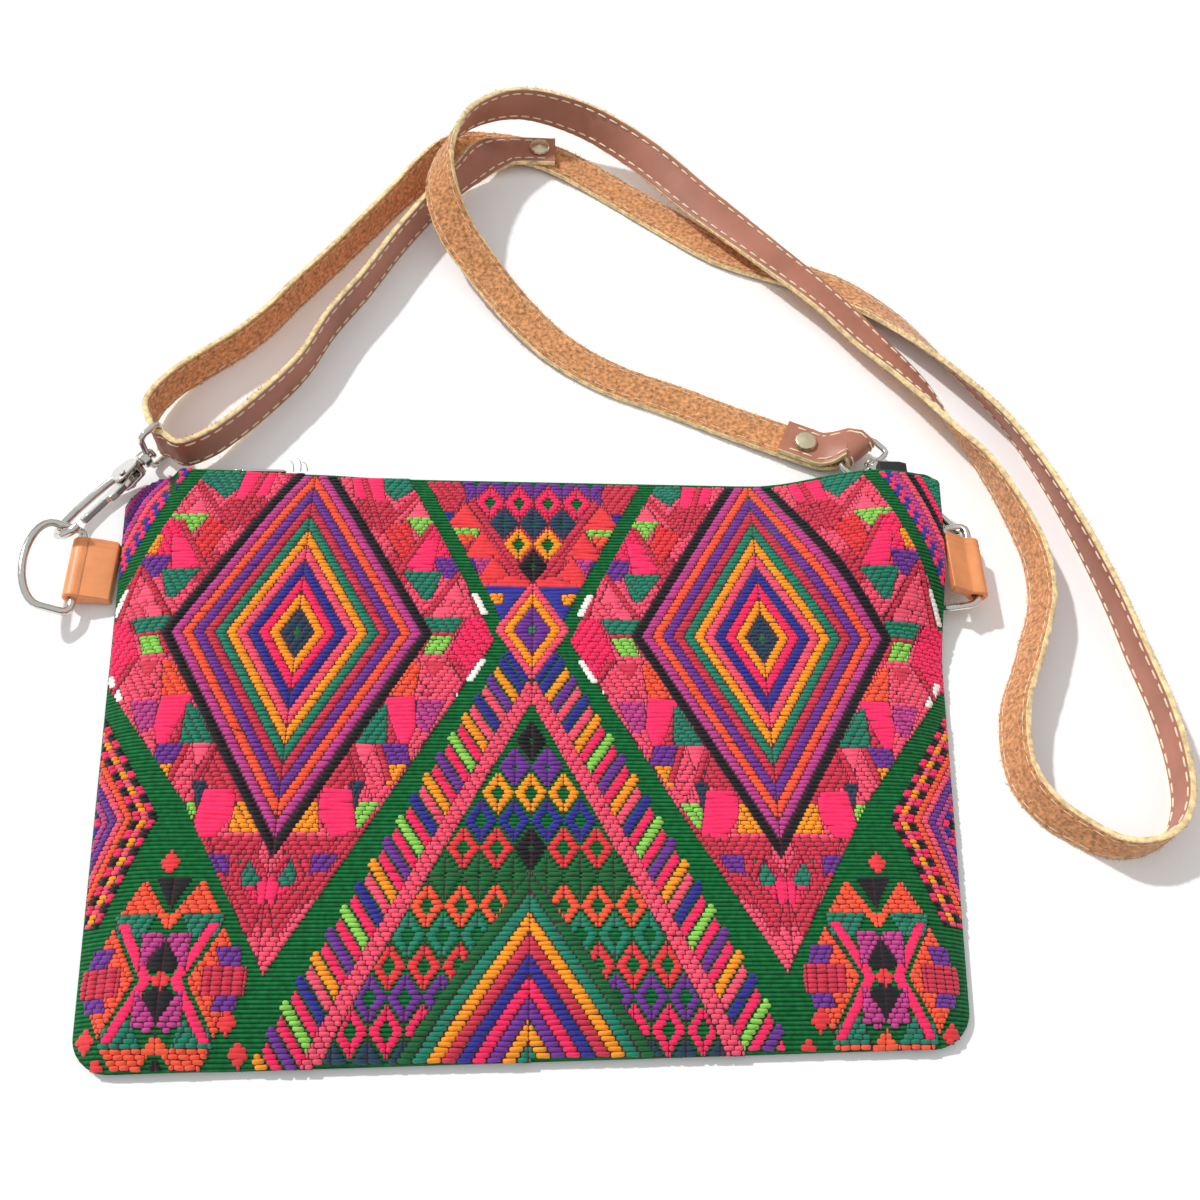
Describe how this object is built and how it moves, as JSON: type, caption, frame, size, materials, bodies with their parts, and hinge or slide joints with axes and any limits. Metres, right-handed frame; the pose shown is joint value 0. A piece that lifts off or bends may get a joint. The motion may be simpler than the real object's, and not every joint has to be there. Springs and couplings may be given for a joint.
{
  "type": "crossbody bag",
  "caption": "Flat zipped crossbody pouch in woven brocade, with leather side tabs, D-rings, swivel snap hooks and a long leather strap.",
  "frame": {"origin": "middle of the pouch's back, on the surface it rests on", "axes": "+X to the right seen from the front, +Y towards the zip, +Z out of the front"},
  "size_m": [0.4, 0.3996, 0.0313],
  "materials": {
    "cloth": "ribbed dark green cloth",
    "brocade": "many-coloured supplementary weft on green cloth",
    "lining": "plain",
    "zip": "black tape and teeth",
    "tan": "smooth tan",
    "strap": "smooth brown face, suede back",
    "nickel": "polished nickel"
  },
  "bodies": {
    "root": {"back_panel": "cloth", "front_panel": "brocade", "lining": "lining", "zip_half_back": "zip", "zip_half_front": "zip", "zip_end_tab": "zip", "left_tab": "tan", "right_tab": "tan", "left_eye": "nickel", "right_eye": "nickel", "strap": "strap", "left_rivet": "nickel", "right_rivet": "nickel"},
    "slider": {"zip_slider": "nickel"},
    "pull": {"zip_pull": "nickel"},
    "left_ring": {"left_ring": "nickel"},
    "right_ring": {"right_ring": "nickel"},
    "left_hook": {"left_hook": "nickel", "left_gate_pin": "nickel", "left_gate_spring": "nickel"},
    "left_gate": {"left_gate": "nickel"},
    "right_hook": {"right_hook": "nickel", "right_gate_pin": "nickel", "right_gate_spring": "nickel"},
    "right_gate": {"right_gate": "nickel"}
  },
  "joints": [
    {"name": "zip_slide", "type": "slide", "parent": "root", "child": "slider", "axis": [1, 0, 0], "range_m": [0, 0.18]},
    {"name": "zip_pull_swing", "type": "hinge", "parent": "slider", "child": "pull", "pos_m": [-0.112, 0.1045, 0.0046], "axis": [0, 0, 1], "range_deg": [0, 60]},
    {"name": "left_ring_swing", "type": "hinge", "parent": "root", "child": "left_ring", "pos_m": [-0.16121, 0.0605, 0.0049], "axis": [0, 1, 0], "range_deg": [0, 6]},
    {"name": "right_ring_swing", "type": "hinge", "parent": "root", "child": "right_ring", "pos_m": [0.16046, 0.0675, 0.009], "axis": [0, 1, 0], "range_deg": [-1, 1]},
    {"name": "left_swivel", "type": "hinge", "parent": "root", "child": "left_hook", "pos_m": [-0.14527, 0.1053, 0.00863], "axis": [-0.6007, -0.7995, 0], "range_deg": [-4, 5]},
    {"name": "left_gate_hinge", "type": "hinge", "parent": "left_hook", "child": "left_gate", "pos_m": [-0.14832, 0.09634, 0.01069], "axis": [0.4586, -0.3445, -0.8192], "range_deg": [0, 12], "stiffness_Nm_per_rad": 0.012, "springref_deg": -85.94},
    {"name": "right_swivel", "type": "hinge", "parent": "root", "child": "right_hook", "pos_m": [0.1313, 0.10964, 0.00667], "axis": [0.6691, -0.7431, 0], "range_deg": [-1.5, 1]},
    {"name": "right_gate_hinge", "type": "hinge", "parent": "right_hook", "child": "right_gate", "pos_m": [0.13513, 0.10098, 0.00873], "axis": [0.4263, 0.3838, 0.8192], "range_deg": [0, 6], "stiffness_Nm_per_rad": 0.012, "springref_deg": -85.94}
  ]
}
